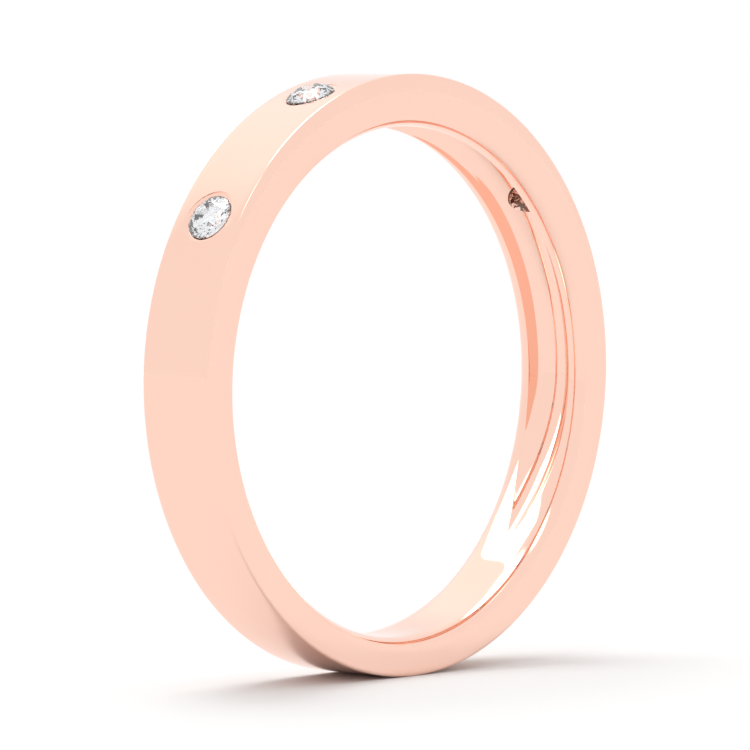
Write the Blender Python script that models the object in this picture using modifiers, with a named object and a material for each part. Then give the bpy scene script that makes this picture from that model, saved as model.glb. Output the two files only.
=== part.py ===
"""Rose gold wedding band, flush set with four round brilliant diamonds.

The band is modelled as it is worn with the hand level: the origin is on the
axis of the finger hole, halfway across the band, the finger runs along Y, +Z is
up, and the stones sit across the top. Angles round the band are counted from
the top, positive towards +X. All lengths are in metres.
"""

import math

import bmesh
import bpy
from mathutils import Matrix, Vector

MM = 0.001

# Band
WIDTH = 3.00 * MM
BORE_RADIUS = 8.70 * MM           # at the crest of the comfort-fit bore
BORE_EDGE_RADIUS = 8.98 * MM      # where the bore meets the side faces
BORE_POWER = 7                    # how late the bore curls away to the sides
OUTER_RADIUS = 10.04 * MM         # at the bottom of the band
TOP_RISE = 0.46 * MM              # extra wall under the stones
RISE_POWER = 2                    # how quickly that extra wall fades
EDGE_ROUND = 0.10 * MM            # broken outer edges
CORNER_STEPS = 3
BORE_POINTS = 13
TURN_STEPS = 96
SHARP_ANGLE = math.radians(25)    # edges steeper than this are shaded sharp

# Channel scooped out of the bore behind the stones
CHANNEL_SECTION = 0.95 * MM       # radius of the scoop's round section
CHANNEL_PATH = 8.55 * MM          # radius that the scoop's centre follows
CHANNEL_FLAT = math.radians(90)   # constant depth up to here, each side
CHANNEL_END = math.radians(133)   # the scoop has run out here
CHANNEL_STEPS = 72

# Stones
STONE_PITCH = math.radians(35.55)
STONE_ROW_CENTRE = math.radians(-2.5)
STONE_COUNT = 4
STONE_RADIUS = 0.83 * MM
TABLE_RADIUS = 0.46 * MM
TABLE_HEIGHT = 0.21 * MM          # of the table above the band
CROWN_ANGLE = math.radians(31)
PAVILION_ANGLE = math.radians(40.75)
GIRDLE_THICKNESS = 0.055 * MM
STAR_REACH = 0.52                 # share of the crown that the star facets take
LOWER_REACH = 0.77                # share of the pavilion under the lower facets
GIRDLE_SEGMENTS = 32
ROUGH_MARGIN = 0.1 * MM           # extra height of the rough rod, each end

# Seats
SEAT_GAP = 0.02 * MM              # between a stone's girdle and its seat
RIM_WIDTH = 0.13 * MM             # bright-cut bevel round the stone
RIM_DEPTH = 0.05 * MM
HOLE_RADIUS = 0.60 * MM           # open hole under the stone
CUTTER_PROUD = 0.60 * MM          # how far a cutter stands out of the metal
SEAT_STEPS = 32

# Points closer than this are one point
MERGE = 0.0001 * MM
STONE_MERGE = 0.0005 * MM
CUT_TOLERANCE = 0.000001 * MM


def clear_scene():
    for old in list(bpy.data.objects):
        bpy.data.objects.remove(old)


def new_collection(name):
    group = bpy.data.collections.new(name)
    bpy.context.scene.collection.children.link(group)
    return group


def principled(name, color, metallic, roughness, ior=1.45, transmission=0.0):
    material = bpy.data.materials.new(name)
    material.use_nodes = True
    shader = material.node_tree.nodes["Principled BSDF"]
    shader.inputs["Base Color"].default_value = (*color, 1.0)
    shader.inputs["Metallic"].default_value = metallic
    shader.inputs["Roughness"].default_value = roughness
    shader.inputs["IOR"].default_value = ior
    shader.inputs["Transmission Weight"].default_value = transmission
    return material


def add_object(name, mesh, group, matrix=None):
    made = bpy.data.objects.new(name, mesh)
    group.objects.link(made)
    if matrix is not None:
        made.matrix_world = matrix
    return made


def evaluated_mesh(source):
    """The object's mesh with its modifiers applied, as new data."""
    graph = bpy.context.evaluated_depsgraph_get()
    return bpy.data.meshes.new_from_object(source.evaluated_get(graph))


def turned_mesh(name, profile, closed, steps):
    """Turn a profile of (radius, height) points round Z with a Screw modifier."""
    mesh = bpy.data.meshes.new(name)
    points = [(radius, 0.0, height) for radius, height in profile]
    edges = [(i, i + 1) for i in range(len(points) - 1)]
    if closed:
        edges.append((len(points) - 1, 0))
    mesh.from_pydata(points, edges, [])
    blank = bpy.data.objects.new(name, mesh)
    bpy.context.scene.collection.objects.link(blank)
    screw = blank.modifiers.new("Turn", "SCREW")
    screw.steps = steps
    screw.render_steps = steps
    screw.use_merge_vertices = True
    screw.merge_threshold = MERGE
    turned = evaluated_mesh(blank)
    bpy.data.objects.remove(blank)
    return turned


def use_cutter(target, cutter):
    cut = target.modifiers.new(cutter.name, "BOOLEAN")
    cut.operation = "DIFFERENCE"
    cut.object = cutter
    cutter.hide_render = True
    cutter.display_type = "WIRE"


# ---------------------------------------------------------------- band

def band_rise(angle):
    """Extra wall thickness at an angle from the top."""
    return TOP_RISE * ((1 + math.cos(angle)) / 2) ** RISE_POWER


def outer_radius(angle):
    return OUTER_RADIUS + band_rise(angle)


def band_profile():
    """Closed section of the band: outer face first, top to bottom, then the bore."""
    half = WIDTH / 2
    points = []
    turns = [math.radians(90) * i / CORNER_STEPS for i in range(CORNER_STEPS + 1)]
    for side in (1, -1):
        corner = [(OUTER_RADIUS - EDGE_ROUND * (1 - math.sin(turn)),
                   side * (half - EDGE_ROUND * (1 - math.cos(turn)))) for turn in turns]
        points += corner if side > 0 else corner[::-1]
    for i in range(BORE_POINTS):
        share = -1 + 2 * i / (BORE_POINTS - 1)
        drop = (BORE_EDGE_RADIUS - BORE_RADIUS) * abs(share) ** BORE_POWER
        points.append((BORE_RADIUS + drop, share * half))
    return points


def raise_top(mesh):
    """Thicken the wall towards the top, which local +Y points at."""
    wall = OUTER_RADIUS - BORE_EDGE_RADIUS
    for vertex in mesh.vertices:
        x, y, _ = vertex.co
        radius = math.hypot(x, y)
        share = (radius - BORE_EDGE_RADIUS) / wall
        if share > 0:
            grown = radius + share * band_rise(math.atan2(x, y))
            vertex.co.x = x * grown / radius
            vertex.co.y = y * grown / radius


def channel_path_radius(angle):
    """The scoop's centre drops clear of the metal past its constant stretch."""
    run = (abs(angle) - CHANNEL_FLAT) / (CHANNEL_END - CHANNEL_FLAT)
    run = min(max(run, 0.0), 1.0)
    ease = run * run * (3 - 2 * run)
    return CHANNEL_PATH - ease * (CHANNEL_PATH + CHANNEL_SECTION - BORE_RADIUS)


def channel_cutter(group, matrix):
    """A round bar bent along the inside of the bore, as a closed mesh."""
    curve = bpy.data.curves.new("channel_path", "CURVE")
    curve.dimensions = "3D"
    curve.bevel_depth = CHANNEL_SECTION
    curve.bevel_resolution = 6
    curve.use_fill_caps = True
    path = curve.splines.new("POLY")
    path.points.add(CHANNEL_STEPS)
    for i, point in enumerate(path.points):
        angle = CHANNEL_END * (-1 + 2 * i / CHANNEL_STEPS)
        radius = channel_path_radius(angle)
        point.co = (radius * math.sin(angle), radius * math.cos(angle), 0.0, 1.0)
    guide = add_object("channel_path", curve, group)
    mesh = evaluated_mesh(guide)
    bpy.data.objects.remove(guide)
    shape = bmesh.new()
    shape.from_mesh(mesh)
    bmesh.ops.remove_doubles(shape, verts=shape.verts[:], dist=MERGE)
    bmesh.ops.recalc_face_normals(shape, faces=shape.faces[:])
    shape.to_mesh(mesh)
    shape.free()
    return add_object("channel_cutter", mesh, group, matrix)


def make_band(group, cutters, material):
    # local Z runs through the finger hole, local +Y is the top of the band
    stand = Matrix.Rotation(math.radians(90), 4, "X")
    mesh = turned_mesh("band", band_profile(), True, TURN_STEPS)
    raise_top(mesh)
    mesh.materials.append(material)
    band = add_object("band", mesh, group, stand)
    use_cutter(band, channel_cutter(cutters, stand))
    for number, angle in enumerate(stone_angles(), 1):
        use_cutter(band, seat_cutter(number, angle, cutters))
    mesh.shade_smooth()
    mesh.set_sharp_from_angle(angle=SHARP_ANGLE)
    return band


# ---------------------------------------------------------------- stones

def stone_angles():
    first = STONE_ROW_CENTRE - STONE_PITCH * (STONE_COUNT - 1) / 2
    return [first + STONE_PITCH * i for i in range(STONE_COUNT)]


def stone_frame(angle):
    """Frame on the band's outer face at an angle, with local Z pointing out."""
    return Matrix.Rotation(angle, 4, "Y") @ Matrix.Translation((0, 0, outer_radius(angle)))


def girdle_top():
    return TABLE_HEIGHT - (STONE_RADIUS - TABLE_RADIUS) * math.tan(CROWN_ANGLE)


def seat_cutter(number, angle, group):
    """Bevelled mouth, girdle recess, pavilion cone and open hole, in one tool."""
    recess = STONE_RADIUS + SEAT_GAP
    ledge = girdle_top() - GIRDLE_THICKNESS - SEAT_GAP
    hole_top = ledge - (recess - HOLE_RADIUS) * math.tan(PAVILION_ANGLE)
    mouth = recess + RIM_WIDTH
    deep = -(OUTER_RADIUS + TOP_RISE - BORE_RADIUS)
    profile = [
        (0.0, CUTTER_PROUD),
        (mouth + CUTTER_PROUD, CUTTER_PROUD),
        (mouth, 0.0),
        (recess, -RIM_DEPTH),
        (recess, ledge),
        (HOLE_RADIUS, hole_top),
        (HOLE_RADIUS, deep),
        (0.0, deep),
    ]
    mesh = turned_mesh("seat_cutter", profile, False, SEAT_STEPS)
    return add_object(f"seat_cutter_{number}", mesh, group, stone_frame(angle))


def spoke(azimuth, radius, height):
    return Vector((radius * math.cos(azimuth), radius * math.sin(azimuth), height))


def slice_off(shape, a, b, c):
    """Cut the stone along the plane through three points and cap the cut."""
    normal = (b - a).cross(c - a).normalized()
    centre = Vector((0, 0, girdle_top() - GIRDLE_THICKNESS / 2))
    if normal.dot(a - centre) < 0:
        normal = -normal
    everything = shape.verts[:] + shape.edges[:] + shape.faces[:]
    cut = bmesh.ops.bisect_plane(shape, geom=everything, dist=CUT_TOLERANCE, plane_co=a,
                                 plane_no=normal, clear_outer=True)
    rim = [part for part in cut["geom_cut"] if isinstance(part, bmesh.types.BMEdge)]
    bmesh.ops.edgeloop_fill(shape, edges=rim)


def brilliant_mesh(material):
    """Round brilliant: a short rod cut by its facet planes."""
    eighth = math.radians(45)
    sixteenth = eighth / 2
    top = girdle_top()
    bottom = top - GIRDLE_THICKNESS
    culet = bottom - STONE_RADIUS * math.tan(PAVILION_ANGLE)
    table_edge = TABLE_RADIUS * math.cos(sixteenth)
    star_radius = table_edge + STAR_REACH * (STONE_RADIUS - table_edge)
    star_run = star_radius * math.cos(sixteenth) - TABLE_RADIUS
    star_height = TABLE_HEIGHT - star_run * math.tan(CROWN_ANGLE)
    keel_radius = (1 - LOWER_REACH) * STONE_RADIUS
    keel_run = STONE_RADIUS - keel_radius * math.cos(sixteenth)
    keel_height = bottom - keel_run * math.tan(PAVILION_ANGLE)

    shape = bmesh.new()
    bmesh.ops.create_cone(shape, cap_ends=True, segments=GIRDLE_SEGMENTS, radius1=STONE_RADIUS,
                          radius2=STONE_RADIUS, depth=TABLE_HEIGHT - culet + 2 * ROUGH_MARGIN,
                          matrix=Matrix.Translation((0, 0, (TABLE_HEIGHT + culet) / 2)))
    slice_off(shape, *(spoke(i * 2 * eighth, TABLE_RADIUS, TABLE_HEIGHT) for i in range(3)))
    for i in range(8):
        main = i * eighth
        between = main + sixteenth
        girdle_above = spoke(main, STONE_RADIUS, top)
        girdle_below = spoke(main, STONE_RADIUS, bottom)
        star_tip = spoke(between, star_radius, star_height)
        keel = spoke(between, keel_radius, keel_height)
        # crown main and star
        slice_off(shape, girdle_above, spoke(main, TABLE_RADIUS, TABLE_HEIGHT), star_tip)
        slice_off(shape, spoke(main, TABLE_RADIUS, TABLE_HEIGHT),
                  spoke(main + eighth, TABLE_RADIUS, TABLE_HEIGHT), star_tip)
        # pavilion main
        slice_off(shape, girdle_below, keel, Vector((0, 0, culet)))
        for step in (0, 1):
            corner = main + step * eighth
            # upper and lower girdle facets beside this spoke
            slice_off(shape, spoke(corner, STONE_RADIUS, top),
                      spoke(between, STONE_RADIUS, top), star_tip)
            slice_off(shape, spoke(corner, STONE_RADIUS, bottom),
                      spoke(between, STONE_RADIUS, bottom), keel)
    bmesh.ops.remove_doubles(shape, verts=shape.verts[:], dist=STONE_MERGE)
    bmesh.ops.recalc_face_normals(shape, faces=shape.faces[:])
    mesh = bpy.data.meshes.new("brilliant")
    shape.to_mesh(mesh)
    shape.free()
    mesh.materials.append(material)
    return mesh


def make_diamonds(group, material):
    mesh = brilliant_mesh(material)
    for number, angle in enumerate(stone_angles(), 1):
        add_object(f"diamond_{number}", mesh, group, stone_frame(angle))


def build():
    clear_scene()
    parts = new_collection("wedding_band")
    cutters = new_collection("cutters")
    rose_gold = principled("rose_gold", (0.93, 0.66, 0.56), 1.0, 0.08)
    diamond = principled("diamond", (1.0, 1.0, 1.0), 0.0, 0.0, ior=2.42, transmission=1.0)
    make_band(parts, cutters, rose_gold)
    make_diamonds(parts, diamond)


build()
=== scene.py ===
"""Looks for the flush-set rose gold wedding band: fine band mesh, materials, floor, light and camera.

The finger hole runs along Y and +Z is up; the band stands on its rim on a white
floor. Angles round the band are counted from the top, positive towards +X.
Lengths are in metres.
"""

import math

import bpy
from mathutils import Matrix, Vector


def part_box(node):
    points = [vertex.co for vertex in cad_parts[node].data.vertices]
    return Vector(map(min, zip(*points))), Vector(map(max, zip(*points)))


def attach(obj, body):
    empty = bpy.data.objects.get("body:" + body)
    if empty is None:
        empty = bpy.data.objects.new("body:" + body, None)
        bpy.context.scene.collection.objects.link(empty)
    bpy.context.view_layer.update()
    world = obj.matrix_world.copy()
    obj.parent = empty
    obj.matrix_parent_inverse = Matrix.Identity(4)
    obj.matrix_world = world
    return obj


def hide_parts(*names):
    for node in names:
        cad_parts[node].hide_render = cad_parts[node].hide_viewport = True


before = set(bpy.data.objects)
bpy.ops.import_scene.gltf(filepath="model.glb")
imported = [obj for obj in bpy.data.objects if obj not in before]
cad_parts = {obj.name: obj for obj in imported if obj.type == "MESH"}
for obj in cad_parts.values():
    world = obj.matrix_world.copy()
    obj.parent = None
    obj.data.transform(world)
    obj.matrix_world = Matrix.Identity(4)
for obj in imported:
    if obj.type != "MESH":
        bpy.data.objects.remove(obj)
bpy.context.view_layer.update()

MM = 0.001

# Band, as in the CAD
TOP_RISE = 0.46 * MM              # extra wall under the stones
RISE_POWER = 2                    # how quickly it dies away round the band
EDGE_ROUND = 0.10 * MM            # broken outer edges
BORE_RADIUS = 8.70 * MM           # at the crest of the comfort-fit bore
BORE_EDGE_RADIUS = 8.98 * MM      # where the bore meets the side faces
BORE_POWER = 7                    # how close to its edges the bore opens out
CHANNEL_SECTION = 0.95 * MM       # radius of the scoop's round section
CHANNEL_PATH = 8.55 * MM          # radius that the scoop's centre follows
CHANNEL_FLAT = math.radians(90)   # constant depth up to here, each side
CHANNEL_END = math.radians(133)   # the scoop has run out here
band_low, band_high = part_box("band")
HALF_WIDTH = band_high.y
OUTER_RADIUS = -band_low.z

# Polished edges of the fine mesh
BORE_EDGE_ROUND = 0.03 * MM
CREASE_ROUND = 0.01 * MM          # how softly the scoop meets the bore
CREASE_FADE = 10 * CREASE_ROUND   # scoop half width below which the crease sharpens
THINNEST_SCOOP = 0.03 * MM        # half width that the mesh keeps past the scoop's end

# Fine mesh
TURN_STEPS = 600
OUTER_STEPS = 10
CORNER_STEPS = 6
SIDE_STEPS = 3
SCOOP_STEPS = 36
SHOULDER_STEPS = 10
SEAT_STEPS = 96
SHARP_ANGLE = math.radians(28)    # edges steeper than this are shaded sharp
HALVINGS = 40                     # enough to find the scoop's edge to rounding

# Stones and seats, as in the CAD
STONE_PITCH = math.radians(35.55)
STONE_ROW_CENTRE = math.radians(-2.5)
STONE_COUNT = 4
STONE_RADIUS = 0.83 * MM
TABLE_RADIUS = 0.46 * MM
TABLE_HEIGHT = 0.21 * MM
CROWN_ANGLE = math.radians(31)
PAVILION_ANGLE = math.radians(40.75)
GIRDLE_THICKNESS = 0.055 * MM
SEAT_GAP = 0.02 * MM
RIM_WIDTH = 0.13 * MM             # bright-cut bevel round the stone
RIM_DEPTH = 0.05 * MM
RIM_ROUND = 0.03 * MM             # polished lip outside the bright-cut bevel
FINE_GAP = 0.006 * MM             # round the girdle, where the metal is burnished close
HOLE_RADIUS = 0.60 * MM           # under the stone, through to the bore
CUTTER_PROUD = 0.60 * MM          # how far a seat's tool stands above the face
CUTTER_FLARE = CUTTER_PROUD / 4   # how much its radius grows up there

# Noise patterns, as (scale per metre, detail)
TINT_NOISE = (260, 3)
WEAR_NOISE = (900, 4)
MARK_NOISE = (5000, 2)
CLOUD_NOISE = (1500, 2)
TINT_RANGE = (0.35, 0.65)         # pattern values between which one tint turns into the other
ROUGHNESS_RANGE = (0.3, 0.7)      # pattern values between which roughness goes from low to high

# Rose gold: two close tints, two close roughnesses and very fine polishing marks
GOLD_TINTS = [(0.965, 0.640, 0.525, 1), (0.972, 0.652, 0.538, 1)]
GOLD_ROUGHNESS = (0.03, 0.06)
MARK_STRENGTH = 0.5
MARK_DEPTH = 0.0005 * MM

# Diamond
DIAMOND_IOR = 2.417
DIAMOND_TINTS = [(0.93, 0.955, 1.0, 1), (0.97, 0.98, 1.0, 1)]
DIAMOND_ROUGHNESS = (0.0, 0.01)

# Floor
FLOOR_REACH = 4.0                 # from the middle to each side
FLOOR_WHITE = (0.768, 0.768, 0.768, 1)
FLOOR_ROUGHNESS = 0.9
FLOOR_SHEEN = 0.2

# Camera, which looks at the middle of the finger hole
CAMERA_AZIMUTH = math.radians(-47.656)
CAMERA_ELEVATION = math.radians(3.2135)
CAMERA_DISTANCE = 199.77 * MM
CAMERA_SENSOR = 36
CAMERA_LENS = 280.25
CAMERA_SHIFT = (-0.0098, 0.0078)
CAMERA_CLIP = (0.01, 20)

# Softbox behind the band, which puts the highlights low in the bore
SOFTBOX_PLACE = (2 * MM, 13.5 * MM, 8 * MM)
SOFTBOX_TARGET = (6.0 * MM, 0, -6.0 * MM)
SOFTBOX_SIZE = 7.5 * MM
SOFTBOX_BRIGHTNESS = 2.2          # power, per area and per pi

# Studio sky: radiance everywhere, and brighter parts as
# (direction, degrees within which it is full, degrees beyond which it is gone, added radiance)
WORLD_BASE = 1.01
WORLD_LOBES = [
    ((0.08, 0.28, 0.96), 9, 22, 3.4),
    ((-0.45, -0.10, 0.88), 4, 12, 1.6),
    ((0.19, 0.67, 0.72), 5, 36, 0.22),
]


# ---------------------------------------------------------------- band shape

def band_rise(angle):
    return TOP_RISE * ((1 + math.cos(angle)) / 2) ** RISE_POWER


def outer_radius(angle):
    return OUTER_RADIUS + band_rise(angle)


def channel_path_radius(angle):
    run = (abs(angle) - CHANNEL_FLAT) / (CHANNEL_END - CHANNEL_FLAT)
    run = min(max(run, 0.0), 1.0)
    ease = run * run * (3 - 2 * run)
    return CHANNEL_PATH - ease * (CHANNEL_PATH + CHANNEL_SECTION - BORE_RADIUS)


def bore_radius(y):
    return BORE_RADIUS + (BORE_EDGE_RADIUS - BORE_RADIUS) * abs(y / HALF_WIDTH) ** BORE_POWER


def scoop_radius(y, path):
    return path + math.sqrt(max(CHANNEL_SECTION ** 2 - y * y, 0.0))


def scoop_half_width(path):
    """Where the scoop meets the bore, found by halving."""
    near, far = 0.0, CHANNEL_SECTION
    for _ in range(HALVINGS):
        middle = (near + far) / 2
        if scoop_radius(middle, path) > bore_radius(middle):
            near = middle
        else:
            far = middle
    return near


def inner_radius(y, path, softness):
    bore = bore_radius(y)
    scoop = scoop_radius(y, path)
    return (bore + scoop + math.hypot(bore - scoop, softness)) / 2


def half_section(angle):
    """Points (radius, y) from the middle of the outer face, over +Y, to the middle of the bore."""
    points = []
    flat = HALF_WIDTH - EDGE_ROUND
    for i in range(OUTER_STEPS // 2):
        points.append((OUTER_RADIUS, flat * i / (OUTER_STEPS // 2)))
    for i in range(CORNER_STEPS + 1):
        turn = math.radians(90) * i / CORNER_STEPS
        points.append((OUTER_RADIUS - EDGE_ROUND * (1 - math.cos(turn)), flat + EDGE_ROUND * math.sin(turn)))
    top = OUTER_RADIUS - EDGE_ROUND
    foot = BORE_EDGE_RADIUS + BORE_EDGE_ROUND
    for i in range(1, SIDE_STEPS):
        points.append((top + (foot - top) * i / SIDE_STEPS, HALF_WIDTH))
    inside = HALF_WIDTH - BORE_EDGE_ROUND
    for i in range(CORNER_STEPS):
        share = i / CORNER_STEPS
        radius = (foot * (1 - share) ** 2 + BORE_EDGE_RADIUS * 2 * share * (1 - share)
                  + bore_radius(inside) * share ** 2)
        y = HALF_WIDTH * (1 - share ** 2) + inside * share ** 2
        points.append((radius, y))

    path = channel_path_radius(angle)
    true_edge = scoop_half_width(path)
    edge = max(true_edge, THINNEST_SCOOP)
    softness = CREASE_ROUND * min(1.0, true_edge / CREASE_FADE)
    for i in range(SHOULDER_STEPS):
        share = 1 - i / SHOULDER_STEPS
        y = edge + (inside - edge) * share ** 2
        points.append((inner_radius(y, path, softness), y))
    sweep = math.asin(edge / CHANNEL_SECTION)
    for i in range(SCOOP_STEPS // 2 + 1):
        share = math.sin(math.radians(90) * (1 - i / (SCOOP_STEPS // 2)))
        y = CHANNEL_SECTION * math.sin(sweep * share)
        points.append((inner_radius(y, path, softness), y))
    return points


def section(angle):
    """The closed section at an angle, its outer part lifted by the extra wall."""
    half = half_section(angle)
    whole = half + [(radius, -y) for radius, y in reversed(half[1:-1])]
    lifted = []
    for radius, y in whole:
        share = (radius - BORE_EDGE_RADIUS) / (OUTER_RADIUS - BORE_EDGE_RADIUS)
        lifted.append((radius + max(share, 0.0) * band_rise(angle), y))
    return lifted


def band_mesh():
    points = []
    for step in range(TURN_STEPS):
        angle = math.tau * step / TURN_STEPS - math.pi
        for radius, y in section(angle):
            points.append(Vector((radius * math.sin(angle), y, radius * math.cos(angle))))
    ring = len(points) // TURN_STEPS
    faces = []
    for step in range(TURN_STEPS):
        here = step * ring
        there = (step + 1) % TURN_STEPS * ring
        for i in range(ring):
            after = (i + 1) % ring
            faces.append((here + i, there + i, there + after, here + after))
    mesh = bpy.data.meshes.new("band_fine")
    mesh.from_pydata(points, [], faces)
    return mesh


# ---------------------------------------------------------------- seats

def stone_angles():
    first = STONE_ROW_CENTRE - STONE_PITCH * (STONE_COUNT - 1) / 2
    return [first + STONE_PITCH * i for i in range(STONE_COUNT)]


def stone_frame(angle):
    """Frame on the band's outer face at an angle, with local Z pointing out."""
    return Matrix.Rotation(angle, 4, "Y") @ Matrix.Translation((0, 0, outer_radius(angle)))


def ledge_height():
    girdle_top = TABLE_HEIGHT - (STONE_RADIUS - TABLE_RADIUS) * math.tan(CROWN_ANGLE)
    return girdle_top - GIRDLE_THICKNESS - SEAT_GAP


def seat_profile():
    """(radius, height) from the axis above the band down to the axis in the bore."""
    recess = STONE_RADIUS + FINE_GAP
    ledge = ledge_height()
    hole_top = ledge - (recess - HOLE_RADIUS) * math.tan(PAVILION_ANGLE)
    mouth = recess + RIM_WIDTH
    deep = -(OUTER_RADIUS + TOP_RISE - BORE_RADIUS)
    lip = []
    slope = math.atan2(RIM_DEPTH, RIM_WIDTH)
    for i in range(CORNER_STEPS + 1):
        lean = slope * i / CORNER_STEPS
        lip.append((mouth + RIM_ROUND * (1 - math.sin(lean) / math.sin(slope)),
                    -RIM_ROUND * (1 - math.cos(lean))))
    return [(0.0, CUTTER_PROUD), (mouth + RIM_ROUND + CUTTER_FLARE, CUTTER_PROUD),
            *lip, (recess, -RIM_DEPTH), (recess, ledge), (HOLE_RADIUS, hole_top),
            (HOLE_RADIUS, deep), (0.0, deep)]


def seat_cutter(number, angle):
    """The seat's tool: its mouth follows the band's round, so the rim is even all the way."""
    profile = seat_profile()
    bend = outer_radius(angle)
    points = []
    for radius, height in profile[1:-1]:
        in_mouth = radius > STONE_RADIUS and height > ledge_height()
        for step in range(SEAT_STEPS):
            turn = math.tau * step / SEAT_STEPS
            x = radius * math.cos(turn)
            sag = math.sqrt(bend ** 2 - x * x) - bend if in_mouth else 0.0
            points.append(Vector((x, radius * math.sin(turn), height + sag)))
    faces = []
    rings = len(profile) - 2
    for ring in range(rings - 1):
        for step in range(SEAT_STEPS):
            after = (step + 1) % SEAT_STEPS
            upper = ring * SEAT_STEPS
            lower = upper + SEAT_STEPS
            faces.append((upper + step, lower + step, lower + after, upper + after))
    faces.append(tuple(range(SEAT_STEPS)))
    faces.append(tuple(reversed(range((rings - 1) * SEAT_STEPS, rings * SEAT_STEPS))))
    mesh = bpy.data.meshes.new("seat_cutter")
    mesh.from_pydata(points, [], faces)
    cutter = bpy.data.objects.new(f"seat_cutter_{number}", mesh)
    bpy.context.scene.collection.objects.link(cutter)
    cutter.matrix_world = stone_frame(angle)
    return cutter


def make_band(material):
    mesh = band_mesh()
    band = bpy.data.objects.new("band_fine", mesh)
    bpy.context.scene.collection.objects.link(band)
    cutters = [seat_cutter(number, angle) for number, angle in enumerate(stone_angles(), 1)]
    for cutter in cutters:
        cut = band.modifiers.new(cutter.name, "BOOLEAN")
        cut.operation = "DIFFERENCE"
        cut.object = cutter
    graph = bpy.context.evaluated_depsgraph_get()
    finished = bpy.data.meshes.new_from_object(band.evaluated_get(graph))
    band.modifiers.clear()
    band.data = finished
    for cutter in cutters:
        bpy.data.objects.remove(cutter)
    finished.materials.clear()
    finished.materials.append(material)
    finished.shade_smooth()
    finished.set_sharp_from_angle(angle=SHARP_ANGLE)
    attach(band, "root")
    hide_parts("band")


# ---------------------------------------------------------------- materials

def new_material(name):
    material = bpy.data.materials.new(name)
    material.use_nodes = True
    return material, material.node_tree, material.node_tree.nodes["Principled BSDF"]


def noise(tree, place, scale, detail):
    """A noise pattern in the piece's own coordinates."""
    texture = tree.nodes.new("ShaderNodeTexNoise")
    texture.inputs["Scale"].default_value = scale
    texture.inputs["Detail"].default_value = detail
    tree.links.new(place.outputs["Object"], texture.inputs["Vector"])
    return texture.outputs["Fac"]


def spread_tints(tree, shader, pattern, tints):
    """Base colour that a pattern blends from one tint to the other."""
    ramp = tree.nodes.new("ShaderNodeValToRGB")
    for element, position, color in zip(ramp.color_ramp.elements, TINT_RANGE, tints):
        element.position = position
        element.color = color
    tree.links.new(pattern, ramp.inputs["Fac"])
    tree.links.new(ramp.outputs["Color"], shader.inputs["Base Color"])


def spread_roughness(tree, shader, pattern, roughness):
    """Roughness that a pattern takes from its low value to its high one."""
    spread = tree.nodes.new("ShaderNodeMapRange")
    spread.inputs["From Min"].default_value = ROUGHNESS_RANGE[0]
    spread.inputs["From Max"].default_value = ROUGHNESS_RANGE[1]
    spread.inputs["To Min"].default_value = roughness[0]
    spread.inputs["To Max"].default_value = roughness[1]
    tree.links.new(pattern, spread.inputs["Value"])
    tree.links.new(spread.outputs["Result"], shader.inputs["Roughness"])


def rose_gold():
    material, tree, shader = new_material("rose_gold_polished")
    shader.inputs["Metallic"].default_value = 1.0
    place = tree.nodes.new("ShaderNodeTexCoord")
    spread_tints(tree, shader, noise(tree, place, *TINT_NOISE), GOLD_TINTS)
    spread_roughness(tree, shader, noise(tree, place, *WEAR_NOISE), GOLD_ROUGHNESS)
    bump = tree.nodes.new("ShaderNodeBump")
    bump.inputs["Strength"].default_value = MARK_STRENGTH
    bump.inputs["Distance"].default_value = MARK_DEPTH
    tree.links.new(noise(tree, place, *MARK_NOISE), bump.inputs["Height"])
    tree.links.new(bump.outputs["Normal"], shader.inputs["Normal"])
    return material


def diamond():
    material, tree, shader = new_material("diamond_cut")
    shader.inputs["IOR"].default_value = DIAMOND_IOR
    shader.inputs["Transmission Weight"].default_value = 1.0
    place = tree.nodes.new("ShaderNodeTexCoord")
    cloud = noise(tree, place, *CLOUD_NOISE)
    spread_tints(tree, shader, cloud, DIAMOND_TINTS)
    spread_roughness(tree, shader, cloud, DIAMOND_ROUGHNESS)
    return material


# ---------------------------------------------------------------- floor, light, camera

def make_floor():
    mesh = bpy.data.meshes.new("floor")
    reach = FLOOR_REACH
    corners = [(-reach, -reach), (reach, -reach), (reach, reach), (-reach, reach)]
    mesh.from_pydata([(x, y, band_low.z) for x, y in corners], [], [(0, 1, 2, 3)])
    floor = bpy.data.objects.new("floor", mesh)
    bpy.context.scene.collection.objects.link(floor)
    material, _, shader = new_material("floor_white")
    shader.inputs["Base Color"].default_value = FLOOR_WHITE
    shader.inputs["Roughness"].default_value = FLOOR_ROUGHNESS
    shader.inputs["Specular IOR Level"].default_value = FLOOR_SHEEN
    mesh.materials.append(material)


def softbox(name, place, target, size, brightness):
    """A square area light at a place, facing a target, that the camera itself does not see."""
    data = bpy.data.lights.new(name, "AREA")
    data.shape = "SQUARE"
    data.size = size
    data.energy = brightness * math.pi * size * size
    lamp = bpy.data.objects.new(name, data)
    bpy.context.scene.collection.objects.link(lamp)
    lamp.location = place
    lamp.rotation_mode = "QUATERNION"
    lamp.rotation_quaternion = (Vector(place) - Vector(target)).to_track_quat("Z", "Y")
    lamp.visible_camera = False


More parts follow.
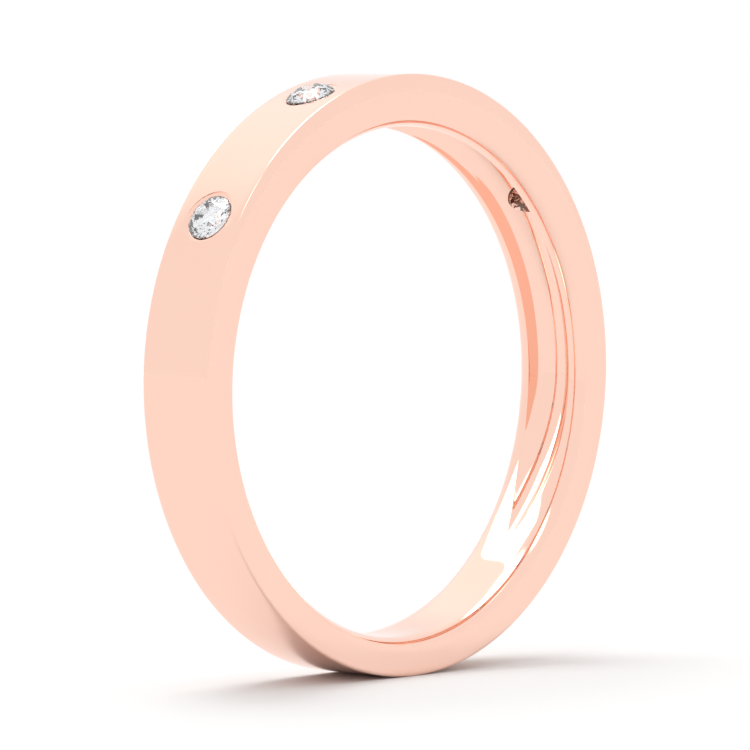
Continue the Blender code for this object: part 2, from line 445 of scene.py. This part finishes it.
def lobe(nodes, links, direction, centre, inner, outer, strength):
    """Light added round one direction: full inside one angle, none outside another."""
    dot = nodes.new("ShaderNodeVectorMath")
    dot.operation = "DOT_PRODUCT"
    dot.inputs[1].default_value = Vector(centre).normalized()
    links.new(direction, dot.inputs[0])
    fade = nodes.new("ShaderNodeMapRange")
    fade.interpolation_type = "SMOOTHSTEP"
    fade.inputs["From Min"].default_value = math.cos(math.radians(outer))
    fade.inputs["From Max"].default_value = math.cos(math.radians(inner))
    fade.inputs["To Min"].default_value = 0.0
    fade.inputs["To Max"].default_value = strength
    links.new(dot.outputs["Value"], fade.inputs["Value"])
    return fade.outputs["Result"]


def make_world():
    """An evenly white studio with a few brighter parts of sky."""
    world = bpy.data.worlds.new("studio")
    bpy.context.scene.world = world
    world.use_nodes = True
    nodes, links = world.node_tree.nodes, world.node_tree.links
    place = nodes.new("ShaderNodeTexCoord")
    total = None
    for centre, inner, outer, strength in WORLD_LOBES:
        part = lobe(nodes, links, place.outputs["Generated"], centre, inner, outer, strength)
        add = nodes.new("ShaderNodeMath")
        add.operation = "ADD"
        links.new(part, add.inputs[0])
        if total is None:
            add.inputs[1].default_value = WORLD_BASE
        else:
            links.new(total, add.inputs[1])
        total = add.outputs["Value"]
    background = nodes["Background"]
    background.inputs["Color"].default_value = (1, 1, 1, 1)
    links.new(total, background.inputs["Strength"])


def camera_direction():
    """From the band towards the camera."""
    level = math.cos(CAMERA_ELEVATION)
    return Vector((math.sin(CAMERA_AZIMUTH) * level, -math.cos(CAMERA_AZIMUTH) * level,
                   math.sin(CAMERA_ELEVATION)))


def make_camera():
    back = camera_direction()
    data = bpy.data.cameras.new("camera")
    data.sensor_width = CAMERA_SENSOR
    data.lens = CAMERA_LENS
    data.shift_x, data.shift_y = CAMERA_SHIFT
    data.clip_start, data.clip_end = CAMERA_CLIP
    camera = bpy.data.objects.new("camera", data)
    bpy.context.scene.collection.objects.link(camera)
    camera.location = back * CAMERA_DISTANCE
    camera.rotation_mode = "QUATERNION"
    camera.rotation_quaternion = (-back).to_track_quat("-Z", "Y")
    bpy.context.scene.camera = camera


make_camera()
make_world()
make_floor()
softbox("bore_softbox", SOFTBOX_PLACE, SOFTBOX_TARGET, SOFTBOX_SIZE, SOFTBOX_BRIGHTNESS)
make_band(rose_gold())
stone_material = diamond()
for number in range(1, STONE_COUNT + 1):
    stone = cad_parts[f"diamond_{number}"]
    stone.data.materials.clear()
    stone.data.materials.append(stone_material)

bpy.context.scene.view_settings.view_transform = "Standard"
